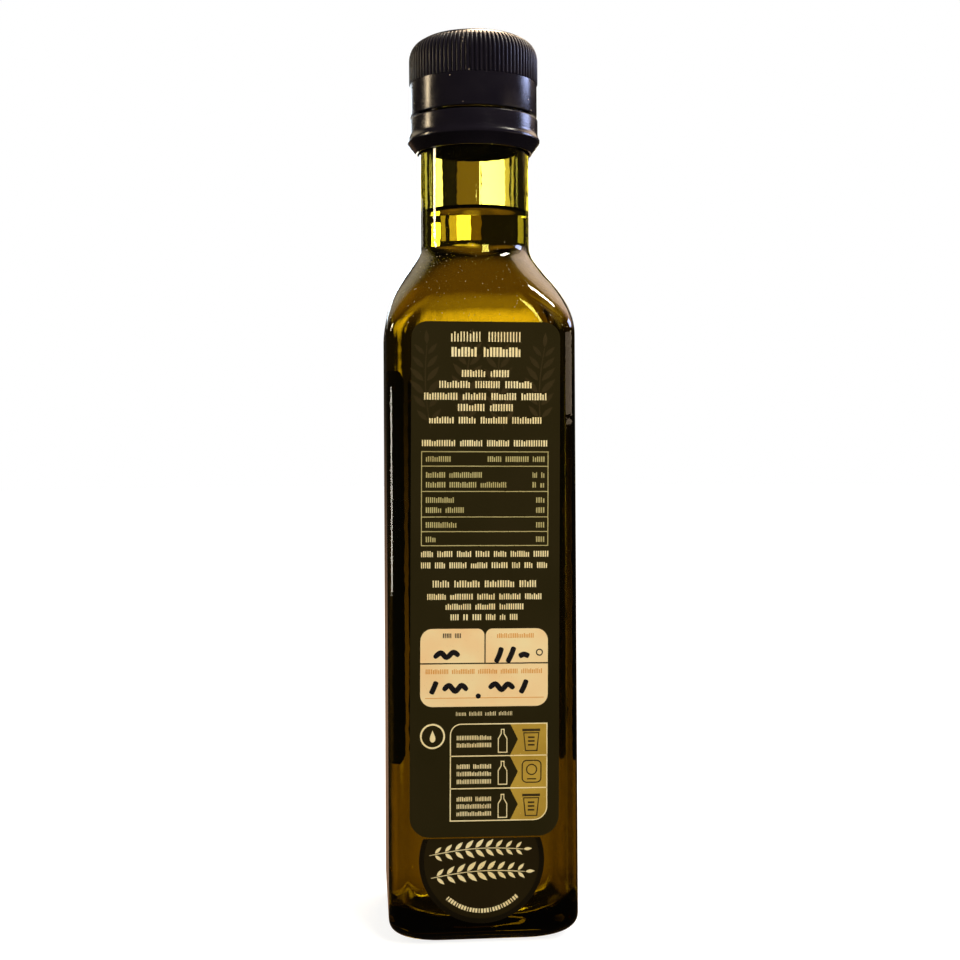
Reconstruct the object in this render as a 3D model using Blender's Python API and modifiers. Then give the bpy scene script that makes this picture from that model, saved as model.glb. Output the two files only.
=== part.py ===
"""Square quarter-litre olive oil bottle: glass, oil, ribbed screw cap, tamper band, labels.

Metres, +Z up. The origin is the middle of the base on the surface that the bottle
stands on, and the face with the long back label looks along -Y.
"""

import math

import bmesh
import bpy
from mathutils import Vector

MM = 0.001

# Bottle outside
BODY_WIDTH = 46.0 * MM
CORNER_RADIUS = 4.6 * MM
HEEL_RADIUS = 6.3 * MM
FOOT_CORNER_RADIUS = 11.0 * MM
SHOULDER_START = 146.6 * MM
SHOULDER_RADIUS = 26.8 * MM
SHOULDER_ANGLE = math.radians(33.5)
NECK_RADIUS = 14.1 * MM
NECK_FILLET = 7.5 * MM
MOUTH_HEIGHT = 220.2 * MM
MOUTH_ROUNDING = 1.0 * MM

# Bottle inside
WALL = 2.8 * MM
INNER_CORNER_RADIUS = 5.4 * MM
INNER_HEEL_RADIUS = 7.0 * MM
INNER_FOOT_CORNER_RADIUS = 10.0 * MM
FLOOR_HEIGHT = 5.5 * MM

# Underside of the base: a flat bearing ring round a shallow hollow
BEARING_WIDTH = 3.0 * MM
PUNT_SLOPE_WIDTH = 3.0 * MM
PUNT_DEPTH = 1.4 * MM
PUNT_CENTRE_DEPTH = 1.8 * MM
PUNT_ROUNDNESS = 0.8
BEARING_ROUNDNESS = 0.65

# Oil
OIL_LEVEL = 179.3 * MM
CLEARANCE = 0.3 * MM

# Screw cap
CAP_RADIUS = 16.2 * MM
CAP_BORE = 14.45 * MM
CAP_BOTTOM = 203.2 * MM
CAP_DOME_START = 217.6 * MM
CAP_DOME_RADIUS = 5.6 * MM
CAP_TOP_THICKNESS = 2.4 * MM
RIB_COUNT = 90
RIB_CREST = 16.45 * MM
RIB_ROOT = 16.24 * MM
RIB_BOTTOM = 211.5 * MM
RIB_TOP = 218.6 * MM
RIB_RING_DEPTH = 0.8 * MM

# Tamper band under the cap
BAND_TOP = 202.5 * MM
BAND_RADIUS = 16.4 * MM
BAND_FLARE_START = 199.0 * MM
BAND_LIP_HEIGHT = 196.8 * MM
BAND_LIP_RADIUS = 16.9 * MM
BAND_LIP_EDGE = 0.5 * MM
BAND_BOTTOM = 193.9 * MM
BAND_BOTTOM_RADIUS = 14.85 * MM

# Labels: thin films that stand just off the glass
FILM = 0.2 * MM
FILM_GAP = 0.15 * MM
LABEL_WIDTH = 35.8 * MM
LABEL_SHIFT = 0.4 * MM
LABEL_TILT = math.radians(-0.5)
LABEL_BOTTOM = 26.2 * MM
LABEL_TOP = 149.4 * MM
LABEL_TOP_RADIUS = 3.9 * MM
LABEL_BOTTOM_RADIUS = 4.9 * MM
FRONT_LABEL_BOTTOM = 37.0 * MM
FRONT_LABEL_TOP = 139.0 * MM
SEAL_RADIUS = 15.0 * MM
SEAL_CENTRE = (-0.8 * MM, 20.6 * MM)
SEAL_LABEL_GAP = 0.3 * MM

# Mesh fineness
CORNER_STEPS = 7
ARC_STEPS = 6
TURN_STEPS = 64


def clear_scene():
    """Remove every object that the file starts with."""
    for obj in list(bpy.data.objects):
        bpy.data.objects.remove(obj, do_unlink=True)


def make_collection(name):
    """Make a collection and link it to the scene."""
    collection = bpy.data.collections.new(name)
    bpy.context.scene.collection.children.link(collection)
    return collection


def make_material(name, colour, roughness, metallic=0.0, transmission=0.0):
    """Make a Principled material with one plain colour."""
    material = bpy.data.materials.new(name)
    material.use_nodes = True
    shader = material.node_tree.nodes["Principled BSDF"]
    shader.inputs["Base Color"].default_value = (*colour, 1.0)
    shader.inputs["Roughness"].default_value = roughness
    shader.inputs["Metallic"].default_value = metallic
    shader.inputs["Transmission Weight"].default_value = transmission
    material.diffuse_color = (*colour, 1.0)
    return material


def add_object(name, data, collection, material):
    """Put mesh or curve data in the scene as a named object."""
    obj = bpy.data.objects.new(name, data)
    data.materials.append(material)
    collection.objects.link(obj)
    return obj


def shade_smooth(mesh, angle=30.0):
    """Shade a mesh smooth, with edges sharper than the angle kept sharp."""
    mesh.shade_smooth()
    mesh.set_sharp_from_angle(angle=math.radians(angle))


def arc(centre, radius, start, end, steps):
    """Points (across, up) on an arc, angles in radians from the across axis."""
    points = []
    for i in range(steps + 1):
        angle = start + (end - start) * i / steps
        points.append((centre[0] + radius * math.cos(angle), centre[1] + radius * math.sin(angle)))
    return points


def section(half, radius, height):
    """Ring of a rounded square; it is an evenly divided circle when radius equals half."""
    roundness = radius / half
    span = math.pi / 4 * (1.0 - roundness / (CORNER_STEPS + 1))
    centre = half - radius
    ring = []
    for quarter in range(4):
        turn = math.pi / 4 + quarter * math.pi / 2
        signs = (math.copysign(1.0, math.cos(turn)), math.copysign(1.0, math.sin(turn)))
        for i in range(CORNER_STEPS + 1):
            angle = turn - span + 2.0 * span * i / CORNER_STEPS
            ring.append(Vector((
                signs[0] * centre + radius * math.cos(angle),
                signs[1] * centre + radius * math.sin(angle),
                height,
            )))
    return ring


def loft(name, rings, collection, material):
    """Skin rings of equal length with quads and close both ends with a face."""
    mesh = bpy.data.meshes.new(name)
    shape = bmesh.new()
    loops = [[shape.verts.new(point) for point in ring] for ring in rings]
    for lower, upper in zip(loops, loops[1:]):
        for i, vertex in enumerate(lower):
            j = (i + 1) % len(lower)
            shape.faces.new((vertex, lower[j], upper[j], upper[i]))
    shape.faces.new(reversed(loops[0]))
    shape.faces.new(loops[-1])
    bmesh.ops.recalc_face_normals(shape, faces=shape.faces)
    shape.to_mesh(mesh)
    shape.free()
    shade_smooth(mesh)
    return add_object(name, mesh, collection, material)


def shoulder_profile(inset):
    """Half-widths and heights from the top of the body to the neck, moved in by an inset."""
    half = BODY_WIDTH / 2
    slope = math.tan(SHOULDER_ANGLE)
    tangent = SHOULDER_RADIUS * math.tan(SHOULDER_ANGLE / 2)
    corner_height = SHOULDER_START + tangent
    neck_corner = corner_height + (half - NECK_RADIUS) / slope
    fillet_height = neck_corner + NECK_FILLET * math.tan(SHOULDER_ANGLE / 2)
    round_part = arc(
        (half - SHOULDER_RADIUS, SHOULDER_START),
        SHOULDER_RADIUS - inset, 0.0, SHOULDER_ANGLE, ARC_STEPS,
    )
    fillet_part = arc(
        (NECK_RADIUS + NECK_FILLET, fillet_height),
        NECK_FILLET + inset, math.pi + SHOULDER_ANGLE, math.pi, ARC_STEPS // 2,
    )
    return round_part + fillet_part


def shoulder_rings(inset, corner_radius):
    """Sections of the shoulder, from the rounded square to the round neck."""
    profile = shoulder_profile(inset)
    low, high = profile[0][1], profile[-1][1]
    rings = []
    for half, height in profile:
        share = (height - low) / (high - low)
        share = share * share * (3.0 - 2.0 * share)
        radius = corner_radius + (half - corner_radius) * share
        rings.append(section(half, min(radius, half), height))
    return rings


def heel_rings(inset, corner_radius, foot_corner_radius, heel_radius, floor):
    """Sections of the rounded foot of a wall, from its flat floor to its side."""
    half = BODY_WIDTH / 2 - inset
    rings = []
    for across, up in arc((half - heel_radius, floor + heel_radius), heel_radius,
                          -math.pi / 2, 0.0, ARC_STEPS):
        share = (half - across) / heel_radius
        radius = corner_radius + (foot_corner_radius - corner_radius) * share
        rings.append(section(across, radius, up))
    return rings


def base_rings():
    """Sections of the underside, from its middle out to the edge of the bearing ring."""
    bearing_outer = BODY_WIDTH / 2 - HEEL_RADIUS
    bearing_inner = bearing_outer - BEARING_WIDTH
    punt_edge = bearing_inner - PUNT_SLOPE_WIDTH
    return [
        section(punt_edge / 3, punt_edge / 3, PUNT_CENTRE_DEPTH),
        section(punt_edge, punt_edge * PUNT_ROUNDNESS, PUNT_DEPTH),
        section(bearing_inner, bearing_inner * BEARING_ROUNDNESS, 0.0),
    ]


def mouth_rings():
    """Sections over the lip of the mouth, from the neck's outside to its bore."""
    outer = arc((NECK_RADIUS - MOUTH_ROUNDING, MOUTH_HEIGHT - MOUTH_ROUNDING),
                MOUTH_ROUNDING, 0.0, math.pi / 2, 3)
    bore = NECK_RADIUS - WALL
    inner = arc((bore + MOUTH_ROUNDING, MOUTH_HEIGHT - MOUTH_ROUNDING),
                MOUTH_ROUNDING, math.pi / 2, math.pi, 3)
    return [section(across, across, up) for across, up in outer + inner]


def build_glass(collection):
    """The bottle: one wall, up the outside, over the mouth and down the inside."""
    green = make_material("dark_green_glass", (0.055, 0.06, 0.012), 0.05, 0.0, 1.0)
    inner_heel = heel_rings(WALL, INNER_CORNER_RADIUS, INNER_FOOT_CORNER_RADIUS,
                            INNER_HEEL_RADIUS, FLOOR_HEIGHT)
    rings = base_rings()
    rings += heel_rings(0.0, CORNER_RADIUS, FOOT_CORNER_RADIUS, HEEL_RADIUS, 0.0)
    rings += shoulder_rings(0.0, CORNER_RADIUS)
    rings += mouth_rings()
    rings += reversed(shoulder_rings(WALL, INNER_CORNER_RADIUS))
    rings += reversed(inner_heel)
    return loft("bottle_glass", rings, collection, green)


def build_oil(collection):
    """The oil: fills the inside up to its level in the neck, just clear of the glass."""
    gold = make_material("olive_oil", (0.62, 0.47, 0.03), 0.05, 0.0, 1.0)
    inset = WALL + CLEARANCE
    corner = INNER_CORNER_RADIUS - CLEARANCE
    surface = NECK_RADIUS - inset
    rings = heel_rings(inset, corner, INNER_FOOT_CORNER_RADIUS - CLEARANCE,
                       INNER_HEEL_RADIUS - CLEARANCE, FLOOR_HEIGHT + CLEARANCE)
    rings += shoulder_rings(inset, corner)
    rings.append(section(surface, surface, OIL_LEVEL))
    return loft("olive_oil", rings, collection, gold)


def turned(name, outline, collection, material):
    """Turn a closed outline of (radius, height) points about the Z axis."""
    mesh = bpy.data.meshes.new(name)
    shape = bmesh.new()
    points = [shape.verts.new((across, 0.0, up)) for across, up in outline]
    for first, second in zip(points, points[1:]):
        shape.edges.new((first, second))
    if outline[0][0] > 0.0:
        shape.edges.new((points[-1], points[0]))
    shape.to_mesh(mesh)
    shape.free()
    obj = add_object(name, mesh, collection, material)
    screw = obj.modifiers.new("turn", "SCREW")
    screw.steps = TURN_STEPS
    screw.render_steps = TURN_STEPS
    screw.use_merge_vertices = True
    screw.merge_threshold = 0.00001
    screw.use_smooth_shade = True
    return obj


def cap_outline():
    """Closed cap outline, from the middle of its top down the outside and up its bore."""
    dome = arc((CAP_RADIUS - CAP_DOME_RADIUS, CAP_DOME_START), CAP_DOME_RADIUS,
               math.pi / 2, 0.0, ARC_STEPS)
    ceiling = CAP_DOME_START + CAP_DOME_RADIUS - CAP_TOP_THICKNESS
    top = CAP_DOME_START + CAP_DOME_RADIUS
    inside = [(CAP_RADIUS, CAP_BOTTOM), (CAP_BORE, CAP_BOTTOM), (CAP_BORE, ceiling), (0.0, ceiling)]
    return [(0.0, top)] + dome + inside


def band_outline():
    """Closed tamper band outline, from its top edge down the flared outside."""
    return [
        (BAND_RADIUS, BAND_TOP),
        (BAND_RADIUS, BAND_FLARE_START),
        (BAND_LIP_RADIUS, BAND_LIP_HEIGHT + BAND_LIP_EDGE),
        (BAND_LIP_RADIUS, BAND_LIP_HEIGHT),
        (BAND_BOTTOM_RADIUS, BAND_BOTTOM),
        (CAP_BORE, BAND_BOTTOM),
        (CAP_BORE, BAND_TOP),
    ]


def build_rib_ring(collection, material):
    """The grip ring of upright ribs that is joined onto the cap."""
    curve = bpy.data.curves.new("rib_ring", "CURVE")
    curve.dimensions = "2D"
    curve.fill_mode = "BOTH"
    curve.extrude = (RIB_TOP - RIB_BOTTOM) / 2
    crown = curve.splines.new("POLY")
    crown.points.add(2 * RIB_COUNT - 1)
    crown.use_cyclic_u = True
    for i, point in enumerate(crown.points):
        angle = math.pi * i / RIB_COUNT
        radius = RIB_CREST if i % 2 == 0 else RIB_ROOT
        point.co = (radius * math.cos(angle), radius * math.sin(angle), 0.0, 1.0)
    bore = curve.splines.new("POLY")
    bore.points.add(TURN_STEPS - 1)
    bore.use_cyclic_u = True
    for i, point in enumerate(bore.points):
        angle = 2.0 * math.pi * i / TURN_STEPS
        radius = RIB_ROOT - RIB_RING_DEPTH
        point.co = (radius * math.cos(angle), radius * math.sin(angle), 0.0, 1.0)
    outline = add_object("rib_ring_outline", curve, collection, material)
    outline.location.z = (RIB_TOP + RIB_BOTTOM) / 2
    bpy.context.view_layer.update()
    mesh = bpy.data.meshes.new_from_object(
        outline.evaluated_get(bpy.context.evaluated_depsgraph_get()))
    mesh.transform(outline.matrix_world)
    bpy.data.objects.remove(outline, do_unlink=True)
    shape = bmesh.new()
    shape.from_mesh(mesh)
    bmesh.ops.remove_doubles(shape, verts=shape.verts, dist=0.00001)
    bmesh.ops.recalc_face_normals(shape, faces=shape.faces)
    shape.to_mesh(mesh)
    shape.free()
    ring = bpy.data.objects.new("rib_ring", mesh)
    collection.objects.link(ring)
    ring.hide_render = True
    ring.display_type = "WIRE"
    return ring


def build_cap(collection, cutters):
    """The screw cap: a turned shell with the ring of ribs joined to it."""
    plastic = make_material("navy_black_plastic", (0.012, 0.011, 0.018), 0.35)
    cap = turned("screw_cap", cap_outline(), collection, plastic)
    join = cap.modifiers.new("ribs", "BOOLEAN")
    join.operation = "UNION"
    join.solver = "EXACT"
    join.object = build_rib_ring(cutters, plastic)
    return cap


def build_band(collection):
    """The tamper band that stays on the neck below the cap."""
    plastic = make_material("navy_black_band", (0.012, 0.011, 0.018), 0.35)
    return turned("tamper_band", band_outline(), collection, plastic)


def label_outline(width, bottom, top, top_radius, bottom_radius):
    """Rounded rectangle about the face's middle line, as (across, up) points."""
    half = width / 2
    corners = [
        ((half - top_radius, top - top_radius), top_radius, 0.0),
        ((-half + top_radius, top - top_radius), top_radius, math.pi / 2),
        ((-half + bottom_radius, bottom + bottom_radius), bottom_radius, math.pi),
        ((half - bottom_radius, bottom + bottom_radius), bottom_radius, 1.5 * math.pi),
    ]
    points = []
    for centre, radius, start in corners:
        points += arc(centre, radius, start, start + math.pi / 2, ARC_STEPS)
    return points


def seal_outline():
    """Round seal whose top is cut off straight, just under the back label."""
    chord = LABEL_BOTTOM - SEAL_LABEL_GAP - SEAL_CENTRE[1]
    lift = math.asin(chord / SEAL_RADIUS)
    return arc(SEAL_CENTRE, SEAL_RADIUS, math.pi - lift + LABEL_TILT,
               2.0 * math.pi + lift + LABEL_TILT, 6 * ARC_STEPS)


def tilted(outline, centre, angle):
    """Turn an outline about a point of its face."""
    points = []
    for across, up in outline:
        x, z = across - centre[0], up - centre[1]
        points.append((
            centre[0] + x * math.cos(angle) - z * math.sin(angle),
            centre[1] + x * math.sin(angle) + z * math.cos(angle),
        ))
    return points


def film(name, outline, side, collection, material):
    """A thin film on a face of the bottle; side is -1 for the -Y face and 1 for +Y."""
    curve = bpy.data.curves.new(name, "CURVE")
    curve.dimensions = "2D"
    curve.fill_mode = "BOTH"
    curve.extrude = FILM / 2
    spline = curve.splines.new("POLY")
    spline.points.add(len(outline) - 1)
    spline.use_cyclic_u = True
    for point, (across, up) in zip(spline.points, outline):
        point.co = (across, up, 0.0, 1.0)
    obj = add_object(name, curve, collection, material)
    obj.rotation_euler = (math.pi / 2, 0.0, 0.0 if side < 0 else math.pi)
    obj.location.y = side * (BODY_WIDTH / 2 + FILM_GAP + FILM / 2)
    return obj


def build_labels(collection):
    """The long back label, the round seal under it and the label on the far face."""
    dark = make_material("dark_label_film", (0.021, 0.018, 0.006), 0.45)
    seal = make_material("seal_film", (0.03, 0.02, 0.008), 0.4)
    front = make_material("front_label_film", (0.021, 0.018, 0.006), 0.45)
    middle = (LABEL_SHIFT, (LABEL_BOTTOM + LABEL_TOP) / 2)
    back = label_outline(LABEL_WIDTH, LABEL_BOTTOM, LABEL_TOP, LABEL_TOP_RADIUS, LABEL_BOTTOM_RADIUS)
    back = tilted([(across + LABEL_SHIFT, up) for across, up in back], middle, LABEL_TILT)
    far = label_outline(LABEL_WIDTH, FRONT_LABEL_BOTTOM, FRONT_LABEL_TOP,
                        LABEL_TOP_RADIUS, LABEL_TOP_RADIUS)
    film("back_label", back, -1, collection, dark)
    film("round_seal", seal_outline(), -1, collection, seal)
    film("front_label", far, 1, collection, front)


def main():
    """Build every piece of the bottle."""
    clear_scene()
    bottle = make_collection("olive_oil_bottle")
    cutters = make_collection("cutters")
    build_glass(bottle)
    build_oil(bottle)
    build_cap(bottle, cutters)
    build_band(bottle)
    build_labels(bottle)


main()
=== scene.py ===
"""Looks of a square quarter-litre olive oil bottle with a ribbed cap and dark labels.

The frame gives the solids. Every piece here is a finer skin, a filling or a print that
stands where its solid stands, so the sizes below repeat the solids' own sizes.
"""
import logging
import math
import random
from dataclasses import dataclass, field
from enum import Enum

import bmesh
import bpy
from mathutils import Matrix, Vector


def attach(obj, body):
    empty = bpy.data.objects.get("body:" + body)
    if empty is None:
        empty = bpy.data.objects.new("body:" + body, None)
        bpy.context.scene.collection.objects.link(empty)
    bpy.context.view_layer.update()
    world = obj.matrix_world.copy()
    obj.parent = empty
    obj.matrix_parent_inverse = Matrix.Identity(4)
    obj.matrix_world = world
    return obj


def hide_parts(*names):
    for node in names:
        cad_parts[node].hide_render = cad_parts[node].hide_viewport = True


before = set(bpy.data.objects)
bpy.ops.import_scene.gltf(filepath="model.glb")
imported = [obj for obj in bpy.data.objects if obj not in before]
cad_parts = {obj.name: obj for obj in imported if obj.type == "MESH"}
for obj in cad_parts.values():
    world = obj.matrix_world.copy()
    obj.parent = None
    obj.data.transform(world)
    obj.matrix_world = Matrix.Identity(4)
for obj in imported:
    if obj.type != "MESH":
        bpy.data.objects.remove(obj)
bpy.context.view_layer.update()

LOG = logging.getLogger("olive_oil_bottle")
MM = 0.001
ROOT = "root"
UP = Vector((0.0, 0.0, 1.0))
Point = tuple[float, float]
Colour = tuple[float, float, float]


class Side(Enum):
    """The two faces of the bottle that carry print, by the sign of their Y."""

    BACK = -1
    FRONT = 1


class Slot(Enum):
    """The record's material slots."""

    GLASS = "dark_glass"
    OIL = "oil"
    PLASTIC = "black_plastic"
    LABEL = "label_film"
    SEAL = "seal_film"


# Shapes


def arc(centre: Point, radius: float, start: float, end: float, steps: int) -> list[Point]:
    """Points on an arc, both ends with it.

    Args:
        centre: middle of the arc, as (across, up).
        radius: radius of the arc.
        start: first angle in radians, from the across axis.
        end: last angle in radians.
        steps: number of straight steps.

    Returns:
        The points (across, up).
    """
    points = []
    for i in range(steps + 1):
        angle = start + (end - start) * i / steps
        points.append((centre[0] + radius * math.cos(angle), centre[1] + radius * math.sin(angle)))
    return points


def turned_about(points: list[Point], pivot: Point, angle: float) -> list[Point]:
    """Points turned about a pivot by an angle in radians."""
    cos, sin = math.cos(angle), math.sin(angle)
    moved = [(across - pivot[0], up - pivot[1]) for across, up in points]
    return [(pivot[0] + x * cos - z * sin, pivot[1] + x * sin + z * cos) for x, z in moved]


def rounded_box(left: float, bottom: float, right: float, top: float,
                radii: tuple[float, float, float, float], steps: int = 8) -> list[Point]:
    """Outline of a box with a radius of its own at each corner.

    Args:
        left: left edge.
        bottom: lower edge.
        right: right edge.
        top: upper edge.
        radii: corner radii, from the upper right one round to the left.
        steps: steps of each corner's arc.

    Returns:
        The outline's points, anticlockwise.
    """
    places = ((right, top, -1, -1), (left, top, 1, -1), (left, bottom, 1, 1), (right, bottom, -1, 1))
    outline: list[Point] = []
    for i, ((across, up, inward, upward), radius) in enumerate(zip(places, radii)):
        if radius <= 0.0:
            outline.append((across, up))
            continue
        centre = (across + inward * radius, up + upward * radius)
        outline += arc(centre, radius, i * math.pi / 2, (i + 1) * math.pi / 2, steps)
    return outline


def leaf_outline(base: Point, length: float, width: float, angle: float) -> list[Point]:
    """Outline of a slim pointed leaf that grows from a base point at an angle."""
    steps = 7
    side = [(length * i / steps, width / 2 * math.sin(math.pi * (i / steps) ** 0.85))
            for i in range(steps + 1)]
    outline = side + [(x, -y) for x, y in reversed(side[1:-1])]
    outline = turned_about(outline, (0.0, 0.0), angle)
    return [(base[0] + x, base[1] + y) for x, y in reversed(outline)]


def stroke_outline(path: list[Point], width: float) -> tuple[list[Point], list[Point]]:
    """Both sides of a stroke of a pen along a smooth path.

    Args:
        path: three or more points that the pen passes.
        width: width of the stroke at its middle.

    Returns:
        The points of the left side and of the right side, in the same order.
    """
    steps, tip, taper = 6, 0.45, 1.0 / 9.0
    ends = [path[0], *path, path[-1]]
    smooth: list[Point] = []
    for a, b, c, d in zip(ends, ends[1:], ends[2:], ends[3:]):
        for i in range(steps):
            t = i / steps
            smooth.append(tuple(
                0.5 * (2 * q + (r - p) * t + (2 * p - 5 * q + 4 * r - s) * t * t
                       + (3 * q - p - 3 * r + s) * t ** 3)
                for p, q, r, s in zip(a, b, c, d)))
    smooth.append(path[-1])
    left, right = [], []
    last = len(smooth) - 1
    for i, (x, y) in enumerate(smooth):
        before, after = smooth[max(i - 1, 0)], smooth[min(i + 1, last)]
        along = math.hypot(after[0] - before[0], after[1] - before[1])
        nx, ny = (before[1] - after[1]) / along, (after[0] - before[0]) / along
        share = min(i, last - i) / last
        half = width / 2 * (tip + (1.0 - tip) * min(1.0, share / taper) ** 0.5)
        left.append((x + nx * half, y + ny * half))
        right.append((x - nx * half, y - ny * half))
    return left, right


def mesh_of(shape: bmesh.types.BMesh, name: str, sharp: float = 30.0) -> bpy.types.Mesh:
    """Turn a finished shape into a mesh, smooth except at edges sharper than an angle.

    Args:
        shape: the shape, which is freed.
        name: name of the mesh.
        sharp: angle in degrees from which an edge stays sharp.

    Returns:
        The mesh, with its faces pointing outwards.
    """
    bmesh.ops.recalc_face_normals(shape, faces=shape.faces)
    mesh = bpy.data.meshes.new(name)
    shape.to_mesh(mesh)
    shape.free()
    mesh.shade_smooth()
    mesh.set_sharp_from_angle(angle=math.radians(sharp))
    return mesh


def bridge(shape: bmesh.types.BMesh, loops: list[list[bmesh.types.BMVert]]) -> None:
    """Join each closed loop of vertices to the next one with quads."""
    for lower, upper in zip(loops, loops[1:]):
        for i, vertex in enumerate(lower):
            j = (i + 1) % len(lower)
            shape.faces.new((vertex, lower[j], upper[j], upper[i]))


def skin(name: str, rings: list[list[Vector]], sharp: float = 30.0) -> bpy.types.Mesh:
    """Skin rings of equal length with quads and close both ends with a fan."""
    shape = bmesh.new()
    loops = [[shape.verts.new(point) for point in ring] for ring in rings]
    bridge(shape, loops)
    for loop in (loops[0], loops[-1]):
        middle = shape.verts.new(sum((v.co for v in loop), Vector()) / len(loop))
        for i, vertex in enumerate(loop):
            shape.faces.new((vertex, loop[(i + 1) % len(loop)], middle))
    return mesh_of(shape, name, sharp)


def turned(name: str, outline: list[Point], steps: int = 192, sharp: float = 30.0) -> bpy.types.Mesh:
    """Turn a closed outline of (radius, height) points about the Z axis.

    Args:
        name: name of the mesh.
        outline: the outline; points at radius 0 stay single.
        steps: steps of the full turn.
        sharp: angle in degrees from which an edge stays sharp.

    Returns:
        The mesh.
    """
    shape = bmesh.new()
    rings = []
    for across, up in outline:
        count = 1 if across == 0.0 else steps
        rings.append([
            shape.verts.new((across * math.cos(2 * math.pi * i / steps),
                             across * math.sin(2 * math.pi * i / steps), up))
            for i in range(count)])
    for lower, upper in zip(rings, rings[1:] + rings[:1]):
        if len(lower) == 1 and len(upper) == 1:
            continue
        for i in range(steps):
            j = (i + 1) % steps
            corners = [lower[i % len(lower)], lower[j % len(lower)],
                       upper[j % len(upper)], upper[i % len(upper)]]
            shape.faces.new(list(dict.fromkeys(corners)))
    return mesh_of(shape, name, sharp)


def in_scene(name: str, data: bpy.types.ID) -> bpy.types.Object:
    """Put a new object that holds some data in the scene."""
    thing = bpy.data.objects.new(name, data)
    bpy.context.scene.collection.objects.link(thing)
    return thing


def place(name: str, mesh: bpy.types.Mesh, material: bpy.types.Material, slot: Slot,
          *nodes: str) -> bpy.types.Object:
    """Put a finished mesh in the scene as a piece of the bottle.

    Args:
        name: name of the piece.
        mesh: its mesh, already in its place.
        material: its material.
        slot: the record's slot that its finish belongs to.
        nodes: the solids that the piece stands for, if any.

    Returns:
        The piece.
    """
    mesh.materials.clear()
    mesh.materials.append(material)
    piece = in_scene(name, mesh)
    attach(piece, ROOT)
    if nodes:
        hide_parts(*nodes)
    LOG.info("%s: %d faces, %s", name, len(mesh.polygons), slot.value)
    return piece


# Shader groups and finishes


def add_node(tree: bpy.types.NodeTree, kind: str, feeds: dict | None = None,
             **options: object) -> bpy.types.Node:
    """Add a node to a tree.

    Args:
        tree: the tree that takes it.
        kind: the node's type.
        feeds: a value or a source socket for each input, by its name or number.
        options: settings of the node itself.

    Returns:
        The node.
    """
    node = tree.nodes.new(kind)
    for option, value in options.items():
        setattr(node, option, value)
    for label, value in (feeds or {}).items():
        if isinstance(value, bpy.types.NodeSocket):
            tree.links.new(value, node.inputs[label])
        else:
            node.inputs[label].default_value = value
    return node


@dataclass
class ShaderGroup:
    """A shader node group being made, with number inputs and one number as output."""

    name: str
    inputs: dict[str, float]
    output: str

    def __post_init__(self) -> None:
        """Make the group's ends and the place that its patterns lie on."""
        self.tree = bpy.data.node_groups.new(self.name, "ShaderNodeTree")
        for label, value in self.inputs.items():
            self.tree.interface.new_socket(name=label, in_out="INPUT",
                                           socket_type="NodeSocketFloat").default_value = value
        self.tree.interface.new_socket(name=self.output, in_out="OUTPUT",
                                       socket_type="NodeSocketFloat")
        self.given = self.add("NodeGroupInput").outputs
        self.where = self.add("ShaderNodeTexCoord").outputs["Object"]

    def add(self, kind: str, feeds: dict | None = None, **options: object) -> bpy.types.Node:
        """Add a node to the group, as add_node does."""
        return add_node(self.tree, kind, feeds, **options)

    def maths(self, operation: str, first: bpy.types.NodeSocket,
              second: bpy.types.NodeSocket) -> bpy.types.NodeSocket:
        """Add a Math node over two sockets and return its result."""
        return self.add("ShaderNodeMath", {0: first, 1: second}, operation=operation).outputs[0]

    def done(self, result: bpy.types.NodeSocket) -> bpy.types.NodeTree:
        """Put the result out and return the finished group."""
        self.add("NodeGroupOutput", {self.output: result})
        return self.tree


class Effects:
    """The shader groups that more than one finish uses, each built once."""

    _built: dict[str, bpy.types.NodeTree] = {}

    @classmethod
    def group(cls, name: str) -> bpy.types.NodeTree:
        """The group of that name, built the first time it is asked for."""
        if name not in cls._built:
            makers = {"mottle": cls._mottle, "specks": cls._specks, "scratches": cls._scratches}
            cls._built[name] = makers[name]()
        return cls._built[name]

    @staticmethod
    def _mottle() -> bpy.types.NodeTree:
        """Soft uneven patches between a low and a high value."""
        group = ShaderGroup("mottle", {"Scale": 100.0, "Low": 0.0, "High": 1.0}, "Value")
        noise = group.add("ShaderNodeTexNoise", {
            "Detail": 4.0, "Vector": group.where, "Scale": group.given["Scale"]})
        spread = group.add("ShaderNodeMapRange", {
            "From Min": 0.3, "From Max": 0.7, "Value": noise.outputs[0],
            "To Min": group.given["Low"], "To Max": group.given["High"]})
        return group.done(spread.outputs[0])

    @staticmethod
    def _specks() -> bpy.types.NodeTree:
        """Sparse small round specks, as a mask from 0 to 1."""
        group = ShaderGroup("specks", {"Scale": 900.0, "Size": 0.2, "Share": 0.1}, "Mask")
        cells = group.add("ShaderNodeTexVoronoi", {
            "Vector": group.where, "Scale": group.given["Scale"]})
        chance = group.add("ShaderNodeSeparateColor", {0: cells.outputs["Color"]})
        near = group.maths("LESS_THAN", cells.outputs["Distance"], group.given["Size"])
        kept = group.maths("LESS_THAN", chance.outputs[0], group.given["Share"])
        return group.done(group.maths("MULTIPLY", near, kept))

    @staticmethod
    def _scratches() -> bpy.types.NodeTree:
        """Fine level scuffs, stretched round the piece, as a height."""
        group = ShaderGroup("scratches", {"Scale": 400.0, "Stretch": 12.0}, "Height")
        axes = group.add("ShaderNodeCombineXYZ", {"X": 1.0, "Y": 1.0, "Z": group.given["Stretch"]})
        stretch = group.add("ShaderNodeVectorMath", {0: group.where, 1: axes.outputs[0]},
                            operation="MULTIPLY")
        noise = group.add("ShaderNodeTexNoise", {
            "Detail": 3.0, "Vector": stretch.outputs[0], "Scale": group.given["Scale"]})
        return group.done(noise.outputs[0])


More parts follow.
